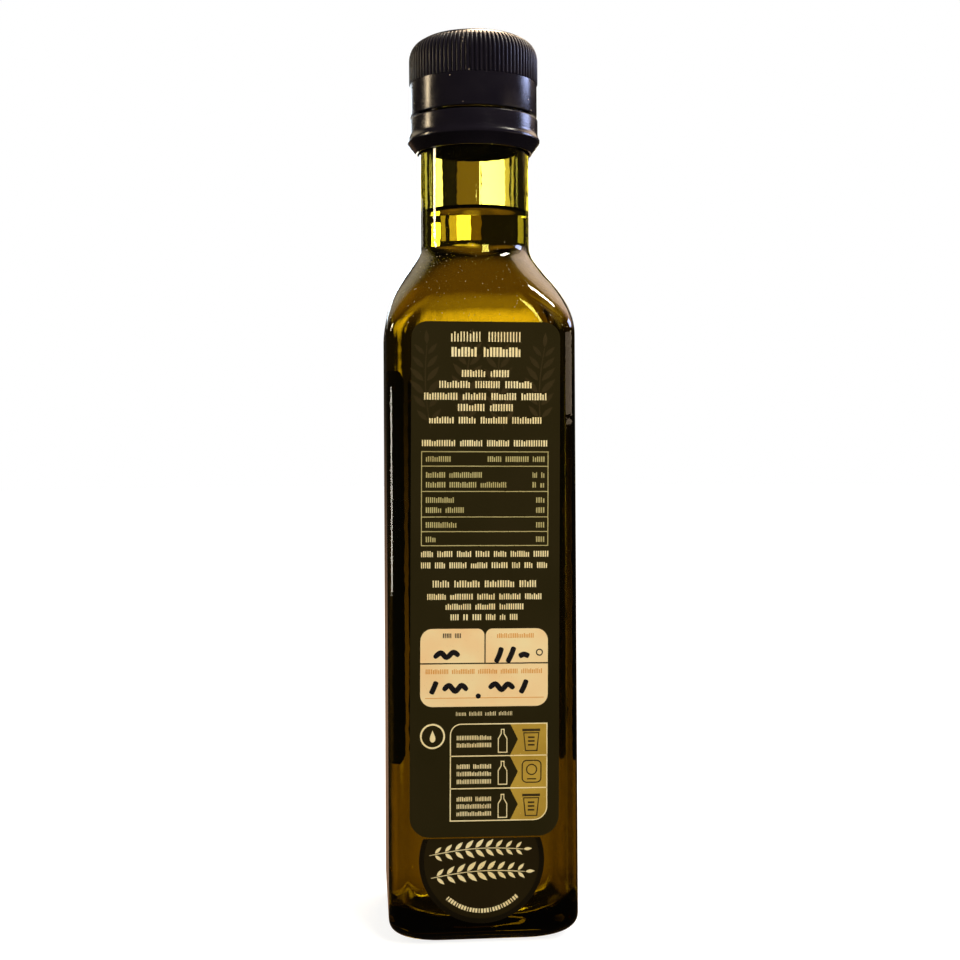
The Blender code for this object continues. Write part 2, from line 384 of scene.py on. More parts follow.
@dataclass
class Recipe:
    """A material being made: its Principled shader and the steps that feed it."""

    name: str
    plain: dict[str, float]
    material: bpy.types.Material = field(init=False)

    def __post_init__(self) -> None:
        """Make the material, with its plain values on the shader's own sockets."""
        self.material = bpy.data.materials.new(self.name)
        self.material.use_nodes = True
        self.tree = self.material.node_tree
        self.shader = self.tree.nodes["Principled BSDF"]
        for label, value in self.plain.items():
            self.shader.inputs[label].default_value = value

    def effect(self, group: str, **values: float) -> bpy.types.NodeSocket:
        """Place an effect group with values of its own and return its output."""
        return add_node(self.tree, "ShaderNodeGroup", values,
                        node_tree=Effects.group(group)).outputs[0]

    def mix(self, share: bpy.types.NodeSocket, first: object, second: object) -> bpy.types.NodeSocket:
        """Mix two colours, each a colour or a socket, by a share."""
        ends = [end if isinstance(end, bpy.types.NodeSocket) else (*end, 1.0)
                for end in (first, second)]
        return add_node(self.tree, "ShaderNodeMix", {0: share, 6: ends[0], 7: ends[1]},
                        data_type="RGBA").outputs[2]

    def patches(self, scale: float, first: Colour, second: Colour) -> bpy.types.NodeSocket:
        """Two shades of a colour in soft uneven patches."""
        return self.mix(self.effect("mottle", Scale=scale), first, second)

    def feed(self, socket: str, source: bpy.types.NodeSocket) -> None:
        """Link a source to one of the shader's sockets."""
        self.tree.links.new(source, self.shader.inputs[socket])

    def gloss(self, scale: float, roughness: tuple[float, float]) -> None:
        """Give the surface a roughness between two values, or a plain one if they are equal."""
        low, high = roughness
        if high > low:
            self.feed("Roughness", self.effect("mottle", Scale=scale, Low=low, High=high))
        else:
            self.shader.inputs["Roughness"].default_value = low

    def bump(self, height: bpy.types.NodeSocket, distance: float) -> None:
        """Feed a height through a Bump node to the shader's normal."""
        relief = add_node(self.tree, "ShaderNodeBump", {
            "Distance": distance, "Strength": 1.0, "Height": height})
        self.feed("Normal", relief.outputs[0])

    def absorb(self, colour: Colour, density: float) -> None:
        """Give the inside a plain volume absorption."""
        inside = add_node(self.tree, "ShaderNodeVolumeAbsorption", {
            "Color": (*colour, 1.0), "Density": density})
        self.tree.links.new(inside.outputs[0], self.tree.nodes["Material Output"].inputs["Volume"])


@dataclass(frozen=True)
class ClearFinish:
    """A clear stuff that light goes through: glass or oil."""

    name: str
    tint: Colour
    tint_shade: Colour
    depth_colour: Colour
    depth_density: float
    refraction: float
    roughness: tuple[float, float]
    ripple: float
    ripple_scale: float

    def material(self) -> bpy.types.Material:
        """The finish as a material."""
        recipe = Recipe(self.name, {"Metallic": 0.0, "Transmission Weight": 1.0,
                                    "IOR": self.refraction})
        recipe.feed("Base Color", recipe.patches(35.0, self.tint, self.tint_shade))
        recipe.gloss(220.0, self.roughness)
        if self.ripple > 0.0:
            recipe.bump(recipe.effect("mottle", Scale=self.ripple_scale), self.ripple)
        recipe.absorb(self.depth_colour, self.depth_density)
        return recipe.material


@dataclass(frozen=True)
class PlasticFinish:
    """Moulded semi-gloss plastic with scuffs and a little dust."""

    name: str
    colour: Colour
    worn_colour: Colour
    dust_colour: Colour
    roughness: tuple[float, float]
    dust_share: float

    def material(self) -> bpy.types.Material:
        """The finish as a material."""
        recipe = Recipe(self.name, {"Metallic": 0.0, "IOR": 1.5})
        ground = recipe.patches(160.0, self.colour, self.worn_colour)
        specks = recipe.effect("specks", Scale=1300.0, Size=0.22, Share=self.dust_share)
        recipe.feed("Base Color", recipe.mix(specks, ground, self.dust_colour))
        recipe.gloss(420.0, self.roughness)
        recipe.bump(recipe.effect("scratches", Scale=900.0, Stretch=8.0), 0.02 * MM)
        return recipe.material


@dataclass(frozen=True)
class FilmFinish:
    """Satin printed film, with a fine grain and soft uneven patches."""

    name: str
    colour: Colour
    shade: Colour
    roughness: tuple[float, float]
    grain: float = 0.01 * MM

    def material(self) -> bpy.types.Material:
        """The finish as a material."""
        recipe = Recipe(self.name, {"Metallic": 0.0, "IOR": 1.5})
        recipe.feed("Base Color", recipe.patches(70.0, self.colour, self.shade))
        recipe.gloss(500.0, self.roughness)
        recipe.bump(recipe.effect("mottle", Scale=2600.0), self.grain)
        return recipe.material


@dataclass(frozen=True)
class InkFinish:
    """Printing ink: a colour with a paler or darker bloom and tiny voids."""

    name: str
    colour: Colour
    bloom: Colour
    void: Colour
    void_share: float = 0.06

    def material(self) -> bpy.types.Material:
        """The finish as a material."""
        recipe = Recipe(self.name, {"Metallic": 0.0, "IOR": 1.45})
        ground = recipe.patches(90.0, self.colour, self.bloom)
        voids = recipe.effect("specks", Scale=3500.0, Size=0.3, Share=self.void_share)
        recipe.feed("Base Color", recipe.mix(voids, ground, self.void))
        recipe.gloss(600.0, (0.42, 0.62))
        return recipe.material


@dataclass(frozen=True)
class StageFinish:
    """The pale floor: lit a little from within, so that it meets the white ground."""

    name: str
    colour: Colour
    shade: Colour
    glow: float
    fade_start: float = 0.06
    fade_end: float = 0.42

    def material(self) -> bpy.types.Material:
        """The finish as a material."""
        recipe = Recipe(self.name, {"Roughness": 0.9, "Emission Strength": 1.0})
        where = add_node(recipe.tree, "ShaderNodeTexCoord").outputs["Object"]
        reach = add_node(recipe.tree, "ShaderNodeVectorMath", {0: where}, operation="LENGTH")
        fade = add_node(recipe.tree, "ShaderNodeMapRange", {
            "From Min": self.fade_start, "From Max": self.fade_end,
            "Value": reach.outputs["Value"]})
        near = (self.glow, self.glow, self.glow)
        recipe.feed("Emission Color", recipe.mix(fade.outputs[0], near, (1.0, 1.0, 1.0)))
        recipe.feed("Base Color", recipe.patches(4.0, self.colour, self.shade))
        return recipe.material


GLASS = ClearFinish("dark_green_glass", (0.93, 0.95, 0.80), (0.97, 0.97, 0.86),
                    (0.76, 0.72, 0.0), 350.0, 1.52, (0.0, 0.03), 0.05 * MM, 70.0)
OIL = ClearFinish("golden_olive_oil", (1.0, 0.995, 0.97), (1.0, 1.0, 0.99),
                  (0.93, 0.86, 0.30), 110.0, 1.47, (0.0, 0.0), 0.0, 1.0)
PLASTIC = PlasticFinish("navy_black_plastic", (0.0065, 0.0055, 0.0100), (0.0095, 0.0080, 0.0130),
                        (0.30, 0.24, 0.18), (0.16, 0.24), 0.012)
RIB_PLASTIC = PlasticFinish("ribbed_navy_black_plastic", (0.0060, 0.0052, 0.0105),
                            (0.0090, 0.0078, 0.0140), (0.30, 0.24, 0.18), (0.34, 0.42), 0.02)
LABEL_FILM = FilmFinish("dark_label_film", (0.021, 0.0165, 0.0048), (0.025, 0.0190, 0.0062),
                        (0.34, 0.44))
PICTURE_INK = FilmFinish("brown_picture_ink", (0.050, 0.035, 0.014), (0.036, 0.026, 0.010),
                         (0.34, 0.46))
SEAL_FILM = FilmFinish("brown_seal_film", (0.017, 0.0115, 0.0038), (0.021, 0.0145, 0.0045),
                       (0.3, 0.4))
SEAL_INK = FilmFinish("dark_seal_ring", (0.007, 0.005, 0.002), (0.010, 0.007, 0.003), (0.25, 0.35))
CREAM_INK = InkFinish("cream_ink", (1.0, 0.88, 0.54), (0.90, 0.72, 0.36), (0.2, 0.15, 0.06))
DIM_INK = InkFinish("dim_cream_ink", (0.55, 0.49, 0.23), (0.48, 0.40, 0.17), (0.1, 0.08, 0.03))
BOX_INK = InkFinish("peach_writing_field", (0.98, 0.66, 0.34), (0.98, 0.80, 0.46),
                    (0.85, 0.6, 0.3), 0.02)
ORANGE_INK = InkFinish("orange_caption_ink", (0.72, 0.30, 0.05), (0.78, 0.36, 0.08),
                       (0.9, 0.6, 0.3), 0.04)
FLOOR = StageFinish("pale_floor", (0.3, 0.3, 0.3), (0.28, 0.28, 0.28), 0.84)
GOLD_INK = InkFinish("gold_ink", (0.54, 0.35, 0.055), (0.42, 0.26, 0.038), (0.7, 0.5, 0.14), 0.05)
PEN_INK = InkFinish("black_marker", (0.008, 0.007, 0.008), (0.014, 0.012, 0.014), (0.02, 0.02, 0.02))
DUST = InkFinish("pale_dust", (0.75, 0.62, 0.42), (0.55, 0.45, 0.3), (0.4, 0.3, 0.2))


# The bottle's glass and oil


@dataclass
class Bottle:
    """The glass and the oil, whose sizes are those of their solids."""

    body_width: float = 46.0 * MM
    corner_radius: float = 4.6 * MM
    heel_radius: float = 6.3 * MM
    foot_corner_radius: float = 11.0 * MM
    shoulder_start: float = 146.6 * MM
    shoulder_radius: float = 26.8 * MM
    shoulder_angle: float = math.radians(33.5)
    neck_radius: float = 14.1 * MM
    neck_fillet: float = 7.5 * MM
    mouth_height: float = 220.2 * MM
    mouth_rounding: float = 1.0 * MM
    wall: float = 2.8 * MM
    inner_corner_radius: float = 5.4 * MM
    inner_heel_radius: float = 7.0 * MM
    inner_foot_corner_radius: float = 10.0 * MM
    floor_height: float = 5.5 * MM
    bearing_width: float = 3.0 * MM
    longest_step: float = 3.0 * MM
    punt_slope_width: float = 3.0 * MM
    punt_depth: float = 1.4 * MM
    punt_centre_depth: float = 1.8 * MM
    oil_level: float = 179.3 * MM
    oil_reach: float = 0.06 * MM
    surface_rings: int = 13
    round_from: float = 0.97
    meniscus_height: float = 0.9 * MM
    meniscus_width: float = 1.6 * MM
    corner_steps: int = 20
    arc_steps: int = 30
    side_shares: tuple[float, ...] = (0.03, 0.12, 0.5, 0.88, 0.97)

    def ring(self, half: float, radius: float, height: float) -> list[Vector]:
        """Ring of a rounded square, which is a circle where the radius equals the half-width."""
        roundness = radius / half
        span = math.pi / 4 * (1.0 - roundness / (self.corner_steps + 1))
        centre = half - radius
        corners = []
        for quarter in range(4):
            turn = math.pi / 4 + quarter * math.pi / 2
            across = math.copysign(centre, math.cos(turn))
            along = math.copysign(centre, math.sin(turn))
            corners.append([
                Vector((across + radius * math.cos(angle), along + radius * math.sin(angle), height))
                for angle in (turn - span + 2.0 * span * i / self.corner_steps
                              for i in range(self.corner_steps + 1))])
        bulge = max(0.0, (roundness - self.round_from) / (1.0 - self.round_from))
        ring = []
        for corner, following in zip(corners, corners[1:] + corners[:1]):
            ring += corner
            for share in self.side_shares:
                point = corner[-1].lerp(following[0], share)
                flat = math.hypot(point.x, point.y)
                grow = 1.0 + bulge * (half / flat - 1.0)
                ring.append(Vector((point.x * grow, point.y * grow, height)))
        return ring

    def shoulder(self, inset: float, corner_radius: float) -> list[list[Vector]]:
        """Rings from the top of the body to the foot of the neck, moved in by an inset."""
        half = self.body_width / 2
        rise = self.shoulder_radius * math.tan(self.shoulder_angle / 2)
        slope = (half - self.neck_radius) / math.tan(self.shoulder_angle)
        fillet_height = (self.shoulder_start + rise + slope
                         + self.neck_fillet * math.tan(self.shoulder_angle / 2))
        profile = arc((half - self.shoulder_radius, self.shoulder_start),
                      self.shoulder_radius - inset, 0.0, self.shoulder_angle, self.arc_steps)
        profile += arc((self.neck_radius + self.neck_fillet, fillet_height),
                       self.neck_fillet + inset, math.pi + self.shoulder_angle, math.pi,
                       self.arc_steps // 2)
        low, high = profile[0][1], profile[-1][1]
        rings = []
        for across, up in self.finer(profile):
            share = (up - low) / (high - low)
            share = share * share * (3.0 - 2.0 * share)
            radius = corner_radius + (across - corner_radius) * share
            rings.append(self.ring(across, min(radius, across), up))
        return rings

    def finer(self, profile: list[Point]) -> list[Point]:
        """The profile with its longest straight step divided, where the corners still change."""
        steps = 8
        finer: list[Point] = []
        for first, second in zip(profile, profile[1:]):
            finer.append(first)
            if math.dist(first, second) > self.longest_step:
                finer += [(first[0] + (second[0] - first[0]) * i / steps,
                           first[1] + (second[1] - first[1]) * i / steps) for i in range(1, steps)]
        finer.append(profile[-1])
        return finer

    def heel(self, inset: float, corner_radius: float, foot_corner_radius: float,
             heel_radius: float, floor: float) -> list[list[Vector]]:
        """Rings of the rounded foot of a wall, from its flat floor to its side."""
        half = self.body_width / 2 - inset
        rings = []
        for across, up in arc((half - heel_radius, floor + heel_radius), heel_radius,
                              -math.pi / 2, 0.0, self.arc_steps // 2):
            share = (half - across) / heel_radius
            radius = corner_radius + (foot_corner_radius - corner_radius) * share
            rings.append(self.ring(across, radius, up))
        return rings

    def underside(self) -> list[list[Vector]]:
        """Rings of the shallow hollow under the base, out to its bearing ring."""
        bearing_outer = self.body_width / 2 - self.heel_radius
        bearing_inner = bearing_outer - self.bearing_width
        punt_edge = bearing_inner - self.punt_slope_width
        return [
            self.ring(punt_edge / 3, punt_edge / 3, self.punt_centre_depth),
            self.ring(punt_edge, punt_edge * 0.8, self.punt_depth),
            self.ring(bearing_inner, bearing_inner * 0.65, 0.0),
        ]

    def mouth(self) -> list[list[Vector]]:
        """Rings over the lip of the mouth, from the neck's outside to its bore."""
        height = self.mouth_height - self.mouth_rounding
        bore = self.neck_radius - self.wall
        outer = arc((self.neck_radius - self.mouth_rounding, height),
                    self.mouth_rounding, 0.0, math.pi / 2, 6)
        inner = arc((bore + self.mouth_rounding, height),
                    self.mouth_rounding, math.pi / 2, math.pi, 6)
        return [self.ring(across, across, up) for across, up in outer + inner]

    def build_glass(self) -> bpy.types.Object:
        """The glass: one wall up the outside, over the mouth and down the inside."""
        rings = self.underside()
        rings += self.heel(0.0, self.corner_radius, self.foot_corner_radius, self.heel_radius, 0.0)
        rings += self.shoulder(0.0, self.corner_radius)
        rings += self.mouth()
        rings += reversed(self.shoulder(self.wall, self.inner_corner_radius))
        rings += reversed(self.heel(self.wall, self.inner_corner_radius, self.inner_foot_corner_radius,
                                    self.inner_heel_radius, self.floor_height))
        return place("glass_shell", skin("glass_shell", rings), GLASS.material(), Slot.GLASS,
                     "bottle_glass")

    def build_oil(self) -> bpy.types.Object:
        """The oil: reaches just into the wall and creeps up it to its level."""
        inset = self.wall - self.oil_reach
        corner = self.inner_corner_radius + self.oil_reach
        rings = self.heel(inset, corner, self.inner_foot_corner_radius + self.oil_reach,
                          self.inner_heel_radius + self.oil_reach,
                          self.floor_height - self.oil_reach)
        rings += self.shoulder(inset, corner)
        surface = self.neck_radius - inset
        for i in range(self.surface_rings):
            across = surface * (1.0 - (i / self.surface_rings) ** 1.6)
            creep = self.meniscus_height * math.exp(-(surface - across) / self.meniscus_width)
            rings.append(self.ring(across, across, self.oil_level - self.meniscus_height + creep))
        return place("oil_fill", skin("oil_fill", rings, 60.0), OIL.material(), Slot.OIL, "olive_oil")

    def build(self) -> None:
        """Build both pieces."""
        self.build_glass()
        self.build_oil()


# Cap and band


class RepeatTree:
    """A Geometry Nodes tree that sets copies of one small shape in their places."""

    def __init__(self, name: str, inputs: dict[str, str]) -> None:
        """Build the tree with its named inputs.

        Args:
            name: name of the tree.
            inputs: kinds of its sockets by their names, besides its mesh and its material.
        """
        self.tree = bpy.data.node_groups.new(name, "GeometryNodeTree")
        face = self.tree.interface
        kinds = {"Mesh": "Geometry", **inputs, "Material": "Material"}
        self.sockets = {
            label: face.new_socket(name=label, in_out="INPUT",
                                   socket_type="NodeSocket" + kind).identifier
            for label, kind in kinds.items()}
        face.new_socket(name="Result", in_out="OUTPUT", socket_type="NodeSocketGeometry")
        self.given = self.add("NodeGroupInput").outputs
        real = self.add("GeometryNodeRealizeInstances", {0: self.copies().outputs[0]})
        dress = self.add("GeometryNodeSetMaterial", {
            "Geometry": real.outputs[0], "Material": self.given["Material"]})
        self.add("NodeGroupOutput", {0: dress.outputs[0]})

    def add(self, kind: str, feeds: dict | None = None, **options: object) -> bpy.types.Node:
        """Add a node to the tree, as add_node does."""
        return add_node(self.tree, kind, feeds, **options)

    def copies(self) -> bpy.types.Node:
        """Add the nodes that set the copies, and return the last of them."""
        raise NotImplementedError

    def run(self, mesh: bpy.types.Mesh, **values: object) -> bpy.types.Mesh:
        """Run the tree on a mesh.

        Args:
            mesh: the mesh that the tree starts from.
            values: its inputs' values by their names.

        Returns:
            The copies as one plain mesh.
        """
        holder = in_scene(mesh.name + "_holder", mesh)
        modifier = holder.modifiers.new("repeat", "NODES")
        modifier.node_group = self.tree
        for label, value in values.items():
            modifier[self.sockets[label]] = value
        bpy.context.view_layer.update()
        result = bpy.data.meshes.new_from_object(
            holder.evaluated_get(bpy.context.evaluated_depsgraph_get()))
        holder.modifiers.remove(modifier)
        bpy.data.objects.remove(holder, do_unlink=True)
        return result


class RibTree(RepeatTree):
    """The tree that stands copies of one rib round the Z axis."""

    def copies(self) -> bpy.types.Node:
        """Turn each copy by its number times one step."""
        places = self.add("GeometryNodeMeshLine", {
            "Offset": (0.0, 0.0, 0.0), "Count": self.given["Count"]})
        index = self.add("GeometryNodeInputIndex")
        angle = self.add("ShaderNodeMath", {0: index.outputs[0], 1: self.given["Turn"]},
                         operation="MULTIPLY")
        euler = self.add("ShaderNodeCombineXYZ", {"Z": angle.outputs[0]})
        rotation = self.add("FunctionNodeEulerToRotation", {0: euler.outputs[0]})
        return self.add("GeometryNodeInstanceOnPoints", {
            "Points": places.outputs[0], "Instance": self.given["Mesh"],
            "Rotation": rotation.outputs[0]})


class DustTree(RepeatTree):
    """The tree that scatters small grains over a surface."""

    def copies(self) -> bpy.types.Node:
        """Set a grain of uneven size at each scattered point."""
        scatter = self.add("GeometryNodeDistributePointsOnFaces", {
            label: self.given[label] for label in ("Mesh", "Density", "Seed")})
        grain = self.add("GeometryNodeMeshIcoSphere", {
            "Subdivisions": 1, "Radius": self.given["Size"]})
        smallest, largest = 0.35, 1.0
        uneven = self.add("FunctionNodeRandomValue", {
            2: smallest, 3: largest, "Seed": self.given["Seed"]}, data_type="FLOAT")
        return self.add("GeometryNodeInstanceOnPoints", {
            "Points": scatter.outputs["Points"], "Instance": grain.outputs["Mesh"],
            "Scale": uneven.outputs[1]})


@dataclass
class ScrewCap:
    """The screw cap: domed edge, grip ribs, smooth skirt and mould seam."""

    radius: float = 16.2 * MM
    bore: float = 14.45 * MM
    bottom: float = 203.2 * MM
    dome_start: float = 217.6 * MM
    dome_radius: float = 5.6 * MM
    top_thickness: float = 2.4 * MM
    edge: float = 0.35 * MM
    rib_count: int = 90
    rib_height: float = 0.25 * MM
    rib_half_width: float = 0.37 * MM
    rib_sink: float = 0.35 * MM
    groove_depth: float = 0.15 * MM
    rib_bottom: float = 211.5 * MM
    rib_end_angle: float = math.radians(52.0)
    seam_azimuth: float = math.radians(-86.6)
    seam_width: float = 0.28 * MM
    seam_height: float = 0.05 * MM

    def outline(self) -> list[Point]:
        """Closed outline, from the middle of its top down the outside and up its bore."""
        top = self.dome_start + self.dome_radius
        ceiling = top - self.top_thickness
        middle = self.radius - self.dome_radius
        outside = arc((middle, self.dome_start), self.dome_radius, math.pi / 2, math.pi / 3, 8)
        outside += arc((middle, self.dome_start), self.dome_radius - self.groove_depth,
                       math.pi / 3.4, 0.0, 18)
        outside += [(self.radius - self.groove_depth, self.rib_bottom + self.groove_depth),
                    (self.radius, self.rib_bottom)]
        lower = arc((self.radius - self.edge, self.bottom + self.edge), self.edge,
                    0.0, -math.pi / 2, 5)
        inside = [(self.bore, self.bottom), (self.bore, ceiling), (0.0, ceiling)]
        return [(0.0, top), (middle * 0.6, top)] + outside + lower + inside

    def rib(self) -> bpy.types.Mesh:
        """One rib: a low rounded bar up the side and over the start of the dome."""
        stations = [(self.radius, self.rib_bottom, 0.0, 0.1),
                    (self.radius, self.rib_bottom + 0.12 * MM, 0.0, 0.55),
                    (self.radius, self.rib_bottom + 0.35 * MM, 0.0, 1.0),
                    (self.radius, self.dome_start, 0.0, 1.0)]
        middle = self.radius - self.dome_radius
        steps, fade = 10, 0.85
        for i in range(1, steps + 1):
            angle = self.rib_end_angle * i / steps
            stations.append((middle + self.dome_radius * math.cos(angle),
                             self.dome_start + self.dome_radius * math.sin(angle),
                             angle, 1.0 - fade * (i / steps) ** 5))
        shape = bmesh.new()
        loops = []
        for across, up, lean, share in stations:
            loop = []
            for width, rise in [(1.0, -self.rib_sink)] + [
                    (math.cos(math.pi * j / 6), self.rib_height * share * math.sin(math.pi * j / 6))
                    for j in range(7)] + [(-1.0, -self.rib_sink)]:
                reach = across + rise * math.cos(lean)
                loop.append(shape.verts.new((reach, width * self.rib_half_width,
                                             up + rise * math.sin(lean))))
            loops.append(loop)
        bridge(shape, loops)
        shape.faces.new(loops[0])
        shape.faces.new(loops[-1])
        return mesh_of(shape, "cap_rib", 50.0)

    def seam(self) -> bpy.types.Mesh:
        """The faint upright line where the halves of the mould met."""
        shape = bmesh.new()
        half = self.seam_width / 2
        profile = ((self.radius - self.rib_sink, half), (self.radius, half),
                   (self.radius + self.seam_height, 0.0), (self.radius, -half),
                   (self.radius - self.rib_sink, -half))
        low, high = self.bottom + self.edge, self.rib_bottom
        loops = [[shape.verts.new((x, y, up)) for x, y in profile] for up in (low, high)]
        bridge(shape, loops)
        shape.faces.new(loops[0])
        shape.faces.new(loops[1])
        mesh = mesh_of(shape, "cap_seam", 50.0)
        mesh.transform(Matrix.Rotation(self.seam_azimuth, 4, "Z"))
        return mesh

    def build(self) -> None:
        """Build the cap, its rougher ribs and its seam."""
        finish, rib_finish = PLASTIC.material(), RIB_PLASTIC.material()
        place("cap_shell", turned("cap_shell", self.outline()), finish, Slot.PLASTIC, "screw_cap")
        tree = RibTree("ribs_round_cap", {"Count": "Int", "Turn": "Float"})
        ribs = tree.run(self.rib(), Count=self.rib_count, Turn=2.0 * math.pi / self.rib_count,
                        Material=rib_finish)
        place("cap_ribs", ribs, rib_finish, Slot.PLASTIC)
        place("cap_seam", self.seam(), finish, Slot.PLASTIC)


@dataclass
class TamperBand:
    """The band that stays on the neck, with its flared lip and sloped underside."""

    top: float = 202.5 * MM
    radius: float = 16.4 * MM
    bore: float = 14.45 * MM
    flare_start: float = 199.0 * MM
    lip_height: float = 196.8 * MM
    lip_radius: float = 16.9 * MM
    lip_edge: float = 0.5 * MM
    bottom: float = 193.9 * MM
    bottom_radius: float = 14.85 * MM
    rounding: float = 0.3 * MM

    def outline(self) -> list[Point]:
        """Closed outline, from the top edge down the flared outside and up the bore."""
        upper = arc((self.radius - self.rounding, self.top - self.rounding), self.rounding,
                    math.pi / 2, 0.0, 5)
        flare = [(self.radius + (self.lip_radius - self.radius) * (i / 6) ** 2,
                  self.flare_start + (self.lip_height + self.lip_edge - self.flare_start) * i / 6)
                 for i in range(7)]
        drop = self.lip_radius - self.bottom_radius
        fall = self.lip_height - self.bottom
        slope = math.atan2(fall, drop)
        under = arc((self.lip_radius - self.rounding, self.lip_height), self.rounding,
                    0.0, -math.pi / 2 + slope - 0.2, 5)
        foot = [(self.bottom_radius, self.bottom), (self.bore, self.bottom), (self.bore, self.top)]
        return upper + flare + under + foot

    def build(self) -> None:
        """Build the band."""
        place("band_shell", turned("band_shell", self.outline(), sharp=40.0), PLASTIC.material(),
              Slot.PLASTIC, "tamper_band")


# Labels and their print


@dataclass
class PrintSheet:
    """Closed flat shapes on one face of the bottle, gathered into one mesh.

    Shapes are drawn as (across, up) from the middle of the label's lower edge. All sizes of
    the labels are in millimetres.
    """

    side: Side
    origin: Point
    tilt: float
    pivot: Point
    back: float
    front: float
    slot: Slot
    shape: bmesh.types.BMesh = field(default_factory=bmesh.new)

    def corner(self, point: Point, depth: float) -> bmesh.types.BMVert:
        """A vertex at a point of the face and a distance from the bottle's axis."""
        across, up = turned_about([point], self.pivot, self.tilt)[0]
        side = self.side.value
        return self.shape.verts.new((-side * (across + self.origin[0]) * MM, side * depth * MM,
                                     (up + self.origin[1]) * MM))

    def prism(self, outline: list[Point]) -> None:
        """A closed flat shape with that outline."""
        low = [self.corner(point, self.back) for point in outline]
        high = [self.corner(point, self.front) for point in outline]
        bridge(self.shape, [low, high])
        self.shape.faces.new(low)
        self.shape.faces.new(high)

    def strip(self, first: list[Point], second: list[Point], closed: bool) -> None:
        """A closed flat ribbon between two lines of equal length, or a ring if closed."""
        rows = [[self.corner(point, depth) for point in line]
                for line, depth in ((first, self.back), (second, self.back),
                                    (second, self.front), (first, self.front))]
        count = len(first) if closed else len(first) - 1
        for a, b in zip(rows, rows[1:] + rows[:1]):
            for i in range(count):
                j = (i + 1) % len(first)
                self.shape.faces.new((a[i], a[j], b[j], b[i]))
        if not closed:
            self.shape.faces.new([row[0] for row in rows])
            self.shape.faces.new([row[-1] for row in rows])

    def bar(self, left: float, bottom: float, right: float, top: float) -> None:
        """A plain bar."""
        self.prism([(right, top), (left, top), (left, bottom), (right, bottom)])

    def outline_box(self, box: tuple[float, float, float, float], radii: tuple[float, ...],
                    width: float) -> None:
        """The line round a box with rounded corners."""
        left, bottom, right, top = box
        outer = rounded_box(left, bottom, right, top, radii)
        inner = rounded_box(left + width, bottom + width, right - width, top - width,
                            tuple(max(radius - width, 0.02) if radius > 0.0 else 0.0
                                  for radius in radii))
        self.strip(outer, inner, True)

    def outline_ring(self, centre: Point, radius: float, width: float) -> None:
        """A round line."""
        outer = arc(centre, radius, 0.0, 2.0 * math.pi, 48)[:-1]
        inner = arc(centre, radius - width, 0.0, 2.0 * math.pi, 48)[:-1]
        self.strip(outer, inner, True)

    def mirrored_line(self, foot: Point, outer: list[Point], inner: list[Point]) -> None:
        """A closed line over a foot, whose right half is given by its outer and inner edges."""
        both = [[(foot[0] + x, foot[1] + y)
                 for x, y in edge + [(-x, y) for x, y in reversed(edge)]]
                for edge in (outer, inner)]
        self.strip(*both, True)

    def stroke(self, path: list[Point], width: float) -> None:
        """A stroke of a pen."""
        self.strip(*stroke_outline(path, width), False)

    def place(self, name: str, finish: FilmFinish | InkFinish, *nodes: str) -> None:
        """Finish the mesh and put it in the scene."""
        place(name, mesh_of(self.shape, name), finish.material(), self.slot, *nodes)


@dataclass(frozen=True)
class Row:
    """A row of plain blocks that stands for a line of small print."""

    up: float
    height: float
    left: float
    right: float
    words: int
    weight: float = 0.56
    pitch: float = 0.34
    fill: float = 0.88

    def draw(self, sheet: PrintSheet, chance: random.Random) -> None:
        """Draw the row's blocks.

        Args:
            sheet: the sheet that takes them.
            chance: seeded source of the blocks' uneven widths.
        """
        space = 0.55 * self.height
        lengths = [chance.uniform(0.7, 1.5) for _ in range(self.words)]
        scale = (self.right - self.left - space * (self.words - 1)) / sum(lengths)
        across = self.left
        for length in lengths:
            count = max(1, round(length * scale / (self.pitch * self.height)))
            pitch = length * scale / count
            for i in range(count):
                width = pitch * self.weight * chance.uniform(0.85, 1.12)
                high = self.height * self.fill * chance.choice((1.0, 1.0, 1.0, 0.8))
                start = across + i * pitch
                low = self.up - self.height * self.fill / 2
                sheet.bar(start, low, start + width, low + high)
            across += length * scale + space


@dataclass
class Label:
    """What the labels share: how the film lies on the face and how print stands on it."""

    side: Side
    origin: Point
    tilt: float
    height: float
    slot: Slot = Slot.LABEL
    face: float = 23.0
    sink: float = 0.03
    film: float = 0.07
    ink: float = 0.015

    def sheet(self, layer: int) -> PrintSheet:
        """A sheet for the film itself, layer 0, or for a layer of print over it."""
        back = self.face - self.sink if layer == 0 else self.face + self.film - self.ink
        front = self.face + self.film + self.ink * layer
        return PrintSheet(self.side, self.origin, self.tilt, (0.0, self.height / 2), back, front,
                          self.slot)


